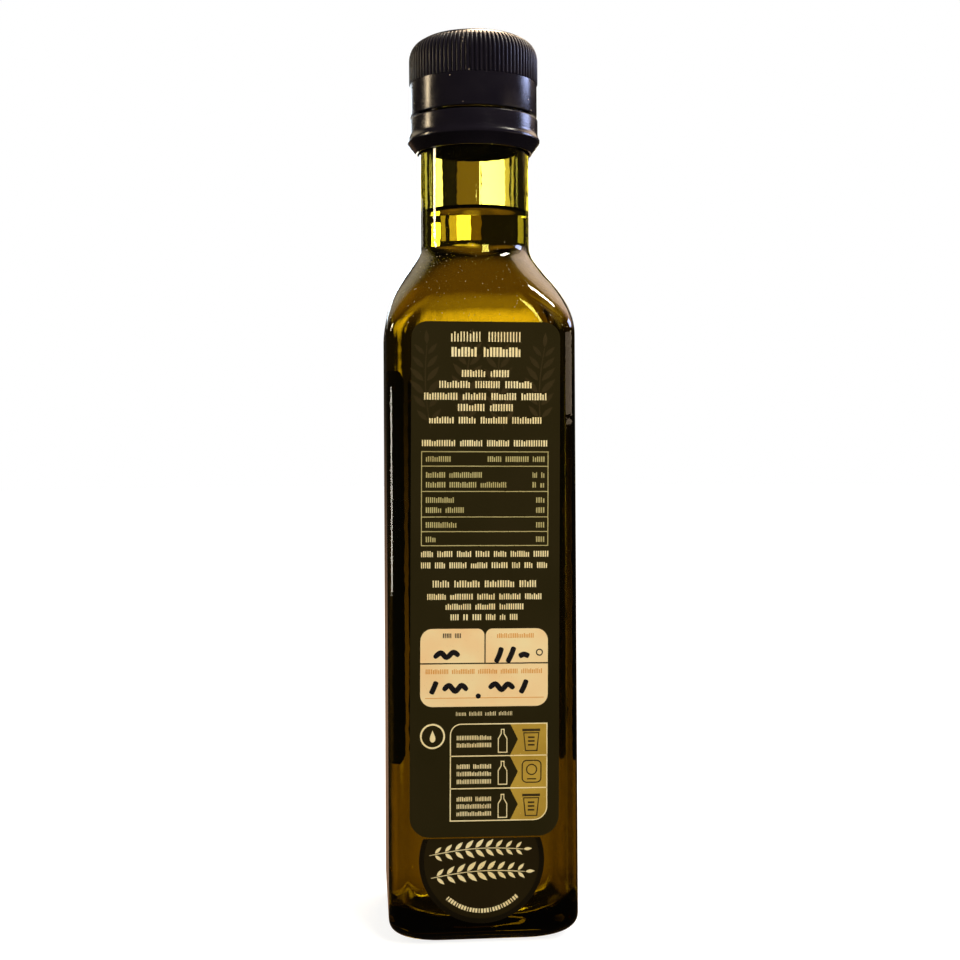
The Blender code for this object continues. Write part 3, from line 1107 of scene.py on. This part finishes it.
def sprig(sheet: PrintSheet, base: Point, angle: float, length: float, pairs: int,
          leaf: float, slim: float = 0.3) -> None:
    """Draw a plain sprig: a stem with pairs of slim leaves.

    Args:
        sheet: the sheet that takes it.
        base: foot of the stem.
        angle: direction of the stem in radians.
        length: length of the stem.
        pairs: number of pairs of leaves.
        leaf: length of the longest leaf.
        slim: width of a leaf as a share of its length.
    """
    cos, sin = math.cos(angle), math.sin(angle)

    def along(t: float) -> Point:
        """Point of the bowed stem at a share t of its length."""
        bow = length * 0.04 * math.sin(math.pi * t)
        return (base[0] + cos * length * t - sin * bow, base[1] + sin * length * t + cos * bow)

    sheet.stroke([along(i / 12) for i in range(13)], leaf * 0.06)
    for i in range(pairs):
        t = (i + 0.6) / (pairs + 0.3)
        spot = along(t)
        size = leaf * (1.0 - 0.35 * abs(2.0 * t - 0.9))
        for sign in (-1.0, 1.0):
            start = (spot[0] - sign * sin * leaf * 0.08, spot[1] + sign * cos * leaf * 0.08)
            sheet.prism(leaf_outline(start, size, size * slim, angle + sign * 0.75))
    sheet.prism(leaf_outline(along(1.0 + 0.04 * leaf / length), leaf * 0.7,
                             leaf * 0.7 * slim, angle))


@dataclass
class BackLabel:
    """The long label on the face shown, with its fields and rows of print."""

    width: float = 35.8
    bottom: float = 26.2
    top: float = 149.4
    shift: float = 0.4
    tilt: float = math.radians(-0.5)
    top_radius: float = 3.9
    bottom_radius: float = 4.9
    rule: float = 0.2

    def __post_init__(self) -> None:
        """Work out how the film lies."""
        self.label = Label(Side.BACK, (self.shift, self.bottom), self.tilt, self.top - self.bottom)
        self.chance = random.Random(11)

    def build_film(self) -> None:
        """The dark film itself."""
        sheet = self.label.sheet(0)
        half = self.width / 2
        radii = (self.top_radius, self.top_radius, self.bottom_radius, self.bottom_radius)
        sheet.prism(rounded_box(-half, 0.0, half, self.top - self.bottom, radii, 16))
        sheet.place("label_film", LABEL_FILM, "back_label")

    def build_picture(self) -> None:
        """A faint generic leaf pattern behind the headings."""
        sheet = self.label.sheet(1)
        for base, angle, length, pairs, leaf in (
                ((-13.2, 97.5), 1.62, 20.0, 6, 5.0), ((-4.4, 98.5), 1.52, 19.5, 6, 5.0),
                ((4.4, 97.2), 1.62, 20.5, 6, 5.0), ((13.2, 98.5), 1.52, 18.5, 6, 5.0)):
            sprig(sheet, base, angle, length, pairs, leaf)
        sheet.place("label_picture", PICTURE_INK)

    def build_headings(self) -> None:
        """The heading bars and the rows in cream over the table and below it."""
        sheet = self.label.sheet(2)
        rows = (
            Row(119.55, 2.7, -8.4, 8.7, 2, 0.42, 0.27), Row(115.9, 2.6, -8.3, 8.6, 2, 0.64, 0.29),
            Row(110.75, 1.9, -5.8, 5.8, 2), Row(108.1, 1.9, -11.2, 11.3, 3),
            Row(105.25, 1.9, -14.8, 14.9, 4), Row(102.6, 1.9, -6.7, 6.8, 2),
            Row(99.55, 1.8, -13.6, 13.7, 4), Row(94.05, 1.7, -15.3, 15.1, 4),
            Row(67.55, 1.6, -15.4, 15.4, 7), Row(64.85, 1.6, -15.4, 15.1, 8),
            Row(60.4, 1.85, -12.6, 12.5, 4), Row(57.35, 1.6, -13.9, 13.8, 5),
            Row(54.95, 1.6, -9.5, 9.4, 3), Row(52.45, 1.6, -8.3, 8.0, 6),
            Row(29.4, 1.1, -6.9, 6.8, 4, 0.4),
        )
        for row in rows:
            row.draw(sheet, self.chance)
        sheet.place("label_rows", CREAM_INK)

    def build_table(self) -> None:
        """The table: its frame, its rules and its rows, in dimmer cream."""
        sheet = self.label.sheet(1)
        left, right, low, high = -15.45, 15.15, 69.45, 92.1
        sheet.outline_box((left, low, right, high), (0.0,) * 4, self.rule)
        for up in (88.55, 82.5, 76.4, 72.9):
            sheet.bar(left + self.rule, up - self.rule / 2, right - self.rule, up + self.rule / 2)
        entries = ((90.25, 6.1, 13.9), (86.45, 13.6, 3.1), (84.1, 19.5, 3.1), (80.45, 6.9, 2.2),
                   (78.05, 9.3, 2.2), (74.5, 7.5, 2.2), (71.05, 2.6, 2.2))
        for up, left_width, right_width in entries:
            left_words = 1 + (left_width > 9.0) + (left_width > 15.0)
            right_words = 1 + (right_width > 3.0) + (right_width > 9.0)
            Row(up, 1.5, -14.3, -14.3 + left_width, left_words).draw(sheet, self.chance)
            Row(up, 1.5, 14.4 - right_width, 14.4, right_words).draw(sheet, self.chance)
        sheet.place("label_table", DIM_INK)

    def build_box(self) -> None:
        """The peach field for writing on: two small fields over one wide one."""
        left, right, low, high, split = -15.5, 15.15, 31.1, 49.7, 41.4
        gap, round_corner, inner_corner, square = 0.16, 2.9, 1.6, 0.0
        sheet = self.label.sheet(1)
        fields = (
            ((left, split + gap, -gap, high), (inner_corner, round_corner, square, square)),
            ((gap, split + gap, right, high), (round_corner, inner_corner, square, square)),
            ((left, low, right, split - gap), (square, square, round_corner, round_corner)),
        )
        for box, radii in fields:
            sheet.prism(rounded_box(*box, radii))
        sheet.place("label_writing_field", BOX_INK)
        captions = self.label.sheet(2)
        Row(48.0, 1.25, 2.9, 11.9, 1).draw(captions, self.chance)
        Row(39.5, 1.3, -14.2, 13.9, 5).draw(captions, self.chance)
        captions.bar(-14.3, 33.1, 14.2, 33.25)
        captions.place("label_captions", ORANGE_INK)

    def build_pen(self) -> None:
        """Loose strokes of a marker and a small dark caption."""
        sheet = self.label.sheet(3)
        width = 1.25
        strokes = (
            ((-12.2, 42.8), (-10.6, 44.0), (-9.2, 42.9), (-7.6, 44.1), (-6.2, 43.2)),
            ((2.6, 41.6), (3.4, 43.3), (4.0, 45.2)),
            ((5.4, 41.6), (6.3, 43.4), (7.0, 45.3)),
            ((8.2, 43.0), (9.4, 43.5), (10.6, 43.0)),
            ((-12.9, 34.2), (-12.2, 35.7), (-11.6, 37.2)),
            ((-10.0, 35.0), (-8.6, 36.2), (-7.1, 34.8), (-5.6, 36.2), (-4.2, 35.0)),
            ((1.0, 35.4), (2.5, 36.5), (4.0, 35.1), (5.5, 36.4), (7.0, 35.3)),
            ((8.6, 34.2), (9.4, 35.8), (10.0, 37.4)),
        )
        for stroke in strokes:
            sheet.stroke(list(stroke), width)
        sheet.prism(arc((-1.6, 33.6), 0.62, 0.0, 2 * math.pi, 16)[:-1])
        Row(48.05, 1.25, -10.1, -5.6, 2).draw(sheet, self.chance)
        sheet.outline_ring((13.1, 43.95), 0.85, 0.28)
        sheet.place("label_marker", PEN_INK)

    def build_badge(self) -> None:
        """A plain round badge with a drop, left of the panel."""
        sheet = self.label.sheet(1)
        centre = (-12.5, 24.1)
        sheet.outline_ring(centre, 3.0, 0.42)
        drop = [(centre[0] + 0.95 * math.sin(angle) * math.sin(angle / 2) ** 1.5,
                 centre[1] + 1.45 * math.cos(angle))
                for angle in (2 * math.pi * i / 20 for i in range(20))]
        sheet.prism(list(reversed(drop)))
        sheet.place("label_badge", CREAM_INK)

    def build_panel(self) -> None:
        """The panel of three rows: rows of print, bottle outlines and a gold field."""
        left, right, low, high, gold_left = -8.35, 15.1, 3.75, 27.05, 6.1
        splits = (low, 11.55, 19.3, high)
        line = 0.26
        lines = self.label.sheet(2)
        lines.outline_box((left, low, right, high), (0.0, 2.7, 0.0, 3.3), line)
        for up in splits[1:3]:
            lines.bar(left, up - line / 2, right, up + line / 2)
        for up in (23.65, 21.9, 16.8, 15.05, 13.2, 9.05, 7.3, 5.55):
            Row(up, 1.2, -6.7, 1.7, 1 + (up in (16.8, 9.05))).draw(lines, self.chance)
        for bottom in (20.0, 12.35, 4.45):
            self.flask(lines, 4.3, bottom)
        lines.place("label_panel_lines", CREAM_INK)
        gold = self.label.sheet(1)
        inset = line / 2
        for i, (foot, head) in enumerate(zip(splits, splits[1:])):
            middle = (foot + head) / 2
            corner = 3.2 if i == 0 else 0.0
            outline = rounded_box(gold_left, foot + inset, right - inset, head - inset,
                                  (0.0, 0.0, 0.0, corner))
            outline.insert(2, (gold_left + 1.9, middle))
            gold.prism(outline)
        gold.place("label_panel_gold", GOLD_INK)
        icons = self.label.sheet(2)
        for bottom in (20.3, 4.75):
            self.bin(icons, 11.2, bottom)
        icons.outline_box((8.9, 12.7, 13.7, 18.2), (1.2,) * 4, 0.28)
        icons.outline_ring((11.3, 15.9), 1.35, 0.28)
        icons.bar(10.2, 13.5, 12.4, 13.8)
        icons.place("label_panel_icons", PICTURE_INK)

    def flask(self, sheet: PrintSheet, middle: float, bottom: float) -> None:
        """A small outline of a plain flask."""
        half, neck, height, line = 1.15, 0.45, 5.7, 0.22
        outer = [(half, 0.0), (half, 3.4), (neck, 4.6), (neck, height)]
        inner = [(half - line, line), (half - line, 3.3), (neck - line, 4.5),
                 (neck - line, height - line)]
        sheet.mirrored_line((middle, bottom), outer, inner)

    def bin(self, sheet: PrintSheet, middle: float, bottom: float) -> None:
        """A small outline of a plain bin with a lid."""
        line = 0.26
        sheet.mirrored_line((middle, bottom), [(1.5, 0.0), (1.95, 4.5)],
                            [(1.5 - line, line), (1.95 - line, 4.5 - line)])
        sheet.bar(middle - 2.15, bottom + 4.75, middle + 2.15, bottom + 5.35)
        for up in (1.3, 2.2, 3.1):
            sheet.bar(middle - 0.8, bottom + up, middle + 0.8, bottom + up + 0.4)

    def build(self) -> None:
        """Build the film and all its print."""
        self.build_film()
        self.build_picture()
        self.build_headings()
        self.build_table()
        self.build_box()
        self.build_pen()
        self.build_badge()
        self.build_panel()


@dataclass
class RoundSeal:
    """The round seal under the back label, cut off straight by the label's lower edge."""

    radius: float = 15.0
    centre: Point = (-0.8, 20.6)
    cut: float = 25.9
    tilt: float = math.radians(-0.5)
    ring_width: float = 1.2
    bar_count: int = 27
    bar_radius: float = 12.0
    bar_start: float = 227.0
    bar_span: float = 86.0

    def outline(self, radius: float) -> list[Point]:
        """The seal's outline at a radius, about its centre, cut off straight at the top."""
        lift = math.asin((self.cut - self.centre[1]) / radius)
        return arc((0.0, 0.0), radius, math.pi - lift + self.tilt,
                   2.0 * math.pi + lift + self.tilt, 72)

    def build(self) -> None:
        """Build the film, its dark ring, and two plain sprigs over an arc of small bars."""
        label = Label(Side.BACK, self.centre, 0.0, 0.0, Slot.SEAL)
        film = label.sheet(0)
        film.prism(self.outline(self.radius))
        film.place("seal_disc", SEAL_FILM, "round_seal")
        ring = label.sheet(1)
        ring.strip(self.outline(self.radius), self.outline(self.radius - self.ring_width), False)
        ring.place("seal_ring", SEAL_INK)
        ornament = label.sheet(2)
        slope = math.radians(2.5)
        for start, up, leaf in ((-12.6, 2.0, 2.9), (-12.2, -3.4, 3.2)):
            sprig(ornament, (start, up + start * math.tan(slope)), slope, 22.6, 9, leaf, 0.36)
        for i in range(self.bar_count):
            angle = math.radians(self.bar_start + self.bar_span * i / (self.bar_count - 1))
            spot = (self.bar_radius * math.cos(angle), self.bar_radius * math.sin(angle))
            half_width, half_height = 0.24 if i % 4 else 0.13, 0.5
            bar = [(spot[0] + x * half_width, spot[1] + y * half_height)
                   for x, y in ((1, 1), (-1, 1), (-1, -1), (1, -1))]
            ornament.prism(turned_about(bar, spot, angle + math.pi / 2))
        ornament.place("seal_ornament", CREAM_INK)


@dataclass
class FrontLabel:
    """The label on the far face, with a plain frame, a sprig and rows of print."""

    width: float = 35.8
    bottom: float = 37.0
    top: float = 139.0
    radius: float = 3.9

    def build(self) -> None:
        """Build the film, its gold frame and its cream print."""
        height = self.top - self.bottom
        label = Label(Side.FRONT, (0.0, self.bottom), 0.0, height)
        half = self.width / 2
        film = label.sheet(0)
        film.prism(rounded_box(-half, 0.0, half, height, (self.radius,) * 4, 16))
        film.place("front_label_film", LABEL_FILM, "front_label")
        gold = label.sheet(1)
        margin = 1.6
        gold.outline_box((-half + margin, margin, half - margin, height - margin),
                         (self.radius - margin / 2,) * 4, 0.35)
        gold.bar(-11.0, 30.0, 11.0, 30.4)
        gold.bar(-11.0, 20.4, 11.0, 20.8)
        gold.place("front_label_gold", GOLD_INK)
        cream = label.sheet(1)
        sprig(cream, (-9.0, 44.0), math.radians(66.0), 38.0, 9, 10.5, 0.27)
        chance = random.Random(5)
        for row in (Row(27.6, 2.6, -9.0, 9.0, 2), Row(23.6, 2.6, -7.5, 7.5, 2),
                    Row(16.6, 1.6, -10.0, 10.0, 3), Row(13.8, 1.6, -6.0, 6.0, 2),
                    Row(8.0, 1.6, -3.0, 3.0, 1)):
            row.draw(cream, chance)
        cream.place("front_label_print", CREAM_INK)


# Dust on the shoulder


def build_dust(bottle: Bottle) -> None:
    """Scatter dust over the shoulder and the foot of the neck, in grains per square metre."""
    shape = bmesh.new()
    bridge(shape, [[shape.verts.new(point) for point in ring]
                   for ring in bottle.shoulder(0.0, bottle.corner_radius)])
    finish = DUST.material()
    tree = DustTree("dust_on_surface", {"Density": "Float", "Size": "Float", "Seed": "Int"})
    dust = tree.run(mesh_of(shape, "dusty_shoulder"), Density=110000.0, Size=0.13 * MM, Seed=3,
                    Material=finish)
    place("shoulder_dust", dust, finish, Slot.GLASS)


# Camera, lights and floor


@dataclass(frozen=True)
class Viewpoint:
    """The photograph's viewpoint, in metres, degrees and pixels of a 960 pixel frame."""

    distance: float = 0.3581
    height: float = 0.1223
    azimuth: float = 4.634
    pitch: float = 0.395
    roll: float = -0.301
    focal: float = 1399.2
    principal_column: float = 475.02
    principal_row: float = 425.07
    frame_size: float = 960.0
    sensor: float = 36.0

    def beside(self, azimuth: float) -> Vector:
        """Level direction from the bottle's axis, in degrees to the right of the camera's."""
        turn = math.radians(self.azimuth)
        towards = Vector((-math.sin(turn), -math.cos(turn), 0.0))
        right = Vector((math.cos(turn), -math.sin(turn), 0.0))
        angle = math.radians(azimuth)
        return towards * math.cos(angle) + right * math.sin(angle)

    def build(self) -> None:
        """Make the camera and set it as the scene's."""
        look = -self.beside(0.0)
        right = self.beside(90.0)
        pitch, roll = math.radians(self.pitch), math.radians(self.roll)
        forward = look * math.cos(pitch) + UP * math.sin(pitch)
        upward = UP * math.cos(pitch) - look * math.sin(pitch)
        across = right * math.cos(roll) + upward * math.sin(roll)
        up = upward * math.cos(roll) - right * math.sin(roll)
        stand = self.beside(0.0) * self.distance + UP * self.height
        data = bpy.data.cameras.new("camera")
        data.sensor_fit = "HORIZONTAL"
        data.sensor_width = self.sensor
        data.lens = self.focal / self.frame_size * self.sensor
        data.shift_x = (self.frame_size / 2 - self.principal_column) / self.frame_size
        data.shift_y = (self.principal_row - self.frame_size / 2) / self.frame_size
        camera = in_scene("camera", data)
        turn = Matrix((across, up, -forward)).transposed()
        camera.matrix_world = Matrix.Translation(stand) @ turn.to_4x4()
        bpy.context.scene.camera = camera


@dataclass(frozen=True)
class Card:
    """A soft light with a level azimuth from the camera's, in degrees, and real sizes."""

    name: str
    azimuth: float
    distance: float
    height: float
    width: float
    tall: float
    radiance: float
    colour: Colour
    aim: float = 0.1
    mirrored: bool = True
    refracted: bool = True

    def build(self, view: Viewpoint) -> None:
        """Make the light, which the camera itself doesn't see."""
        data = bpy.data.lights.new(self.name, "AREA")
        data.shape = "RECTANGLE"
        data.size, data.size_y = self.width, self.tall
        data.energy = self.radiance * math.pi * self.width * self.tall
        data.color = self.colour
        lamp = in_scene(self.name, data)
        lamp.location = view.beside(self.azimuth) * self.distance + UP * self.height
        aim = UP * self.aim - lamp.location
        lamp.rotation_euler = aim.to_track_quat("-Z", "Y").to_euler()
        lamp.visible_camera = False
        lamp.visible_glossy = self.mirrored
        lamp.visible_transmission = self.refracted


WARM = (1.0, 0.80, 0.52)
PALE = (1.0, 0.94, 0.80)
COOL = (0.52, 0.60, 1.0)
SKY = (0.82, 0.92, 1.0)
AMBER = (1.0, 0.78, 0.40)
PEACH = (1.0, 0.76, 0.52)

CARDS = (
    Card("key_front", 27.0, 0.75, 0.66, 0.24, 0.40, 34.0, PALE, mirrored=False),
    Card("spark", 92.0, 0.30, 0.62, 0.08, 0.13, 45.0, PALE, 0.16, refracted=False),
    Card("left_strip", -89.0, 0.5, 0.325, 0.055, 0.15, 30.0, WARM, 0.2, refracted=False),
    Card("left_edge", -89.0, 0.5, 0.09, 0.12, 0.13, 8.0, PALE, 0.1, refracted=False),
    Card("left_rim", -162.0, 0.5, 0.285, 0.30, 0.10, 4.5, SKY, 0.2, refracted=False),
    Card("neck_left", -150.5, 0.035, 0.191, 0.007, 0.018, 5.0, PALE, 0.191),
    Card("neck_left_far", -138.0, 0.6, 0.265, 0.12, 0.06, 1.1, PALE, 0.19),
    Card("right_strip", 109.0, 0.5, 0.37, 0.18, 0.10, 16.0, COOL, 0.2, refracted=False),
    Card("right_haze", 80.0, 0.5, 0.18, 0.45, 0.09, 1.6, PEACH, 0.15, refracted=False),
    Card("window", 173.7, 0.6, 0.275, 0.101, 0.07, 6.0, PALE, 0.19),
    Card("window_edge", 166.4, 0.6, 0.275, 0.050, 0.07, 1.6, AMBER, 0.19),
    Card("neck_right", 168.4, 0.031, 0.174, 0.0034, 0.0115, 7.0, PALE, 0.174),
    Card("neck_right_far", 159.0, 0.6, 0.275, 0.04, 0.07, 1.1, AMBER, 0.19),
    Card("neck_dim", 181.0, 0.6, 0.275, 0.075, 0.07, 0.36, (1.0, 0.58, 0.10), 0.19),
    Card("top_bloom", 158.0, 0.32, 0.80, 0.30, 0.30, 20.0, PEACH, 0.21, refracted=False),
    Card("side_bloom", 140.0, 0.35, 0.46, 0.28, 0.28, 1.6, PEACH, 0.21, refracted=False),
)


@dataclass(frozen=True)
class Glow:
    """A soft round patch of the room's walls, in degrees from the camera's side."""

    azimuth: float
    elevation: float
    radius: float
    strength: float
    colour: Colour

    def build(self, tree: bpy.types.NodeTree, towards: bpy.types.NodeSocket,
              view: Viewpoint) -> bpy.types.NodeSocket:
        """Add the patch's nodes to the world.

        Args:
            tree: the world's tree.
            towards: direction that a ray leaves in.
            view: the viewpoint that azimuths are counted from.

        Returns:
            The patch's light, as a vector of red, green and blue.
        """
        lift = math.radians(self.elevation)
        centre = view.beside(self.azimuth) * math.cos(lift) + UP * math.sin(lift)
        near = add_node(tree, "ShaderNodeVectorMath", {0: towards, 1: centre},
                        operation="DOT_PRODUCT")
        fade = add_node(tree, "ShaderNodeMapRange", {
            "From Min": math.cos(math.radians(self.radius)), "From Max": 1.0,
            "Value": near.outputs["Value"]}, interpolation_type="SMOOTHSTEP")
        light = add_node(tree, "ShaderNodeVectorMath", {
            0: [value * self.strength for value in self.colour], "Scale": fade.outputs[0]},
            operation="SCALE")
        return light.outputs[0]


GLOWS = (
    Glow(178.5, -1.4, 6.0, 1.8, (1.0, 0.82, 0.5)),
    Glow(171.0, -2.0, 5.0, 1.5, (1.0, 0.82, 0.5)),
    Glow(178.5, -7.0, 7.0, 0.45, (1.0, 0.80, 0.5)),
    Glow(180.0, -21.0, 24.0, 0.27, (1.0, 0.58, 0.35)),
    Glow(161.0, -15.0, 11.0, 0.25, (1.0, 0.55, 0.33)),
    Glow(-158.0, -13.0, 13.0, 0.32, (1.0, 0.57, 0.33)),
    Glow(132.0, 36.0, 26.0, 1.5, (1.0, 0.74, 0.60)),
    Glow(-140.0, 32.0, 22.0, 1.1, (1.0, 0.84, 0.58)),
)


@dataclass
class Studio:
    """The plain floor, the white ground and the lights."""

    view: Viewpoint
    floor_radius: float = 3.0
    floor_height: float = -0.1 * MM
    room: Colour = (0.020, 0.016, 0.011)

    def build_floor(self) -> None:
        """A wide pale floor that the glass doesn't mirror."""
        rim = [(x, y, self.floor_height)
               for x, y in arc((0.0, 0.0), self.floor_radius, 0.0, 2 * math.pi, 64)[:-1]]
        mesh = bpy.data.meshes.new("floor")
        mesh.from_pydata(rim, [], [range(len(rim))])
        mesh.materials.append(FLOOR.material())
        floor = in_scene("floor", mesh)
        floor.visible_diffuse = False
        floor.visible_glossy = False
        floor.visible_transmission = False

    def build_world(self) -> None:
        """White ground for the camera, and a dim warm room for everything else."""
        world = bpy.data.worlds.new("room")
        bpy.context.scene.world = world
        world.use_nodes = True
        tree = world.node_tree
        tree.nodes.clear()
        where = add_node(tree, "ShaderNodeTexCoord").outputs["Generated"]
        total: object = self.room
        for glow in GLOWS:
            light = glow.build(tree, where, self.view)
            total = add_node(tree, "ShaderNodeVectorMath", {0: light, 1: total},
                             operation="ADD").outputs[0]
        room = add_node(tree, "ShaderNodeBackground", {"Color": total})
        ground = add_node(tree, "ShaderNodeBackground", {"Color": (1.0, 1.0, 1.0, 1.0)})
        ray = add_node(tree, "ShaderNodeLightPath")
        seen = add_node(tree, "ShaderNodeMixShader", {
            0: ray.outputs["Is Camera Ray"], 1: room.outputs[0], 2: ground.outputs[0]})
        add_node(tree, "ShaderNodeOutputWorld", {"Surface": seen.outputs[0]})

    def build(self) -> None:
        """Build the floor, the world and the lights."""
        self.build_floor()
        self.build_world()
        for card in CARDS:
            card.build(self.view)
        bpy.context.scene.view_settings.view_transform = "Standard"


def main() -> None:
    """Build the bottle's pieces in order, then the studio round them."""
    logging.basicConfig(level=logging.INFO, format="%(message)s")
    bottle = Bottle()
    bottle.build()
    ScrewCap().build()
    TamperBand().build()
    BackLabel().build()
    RoundSeal().build()
    FrontLabel().build()
    build_dust(bottle)
    view = Viewpoint()
    view.build()
    Studio(view).build()


if __name__ == "__main__":
    main()
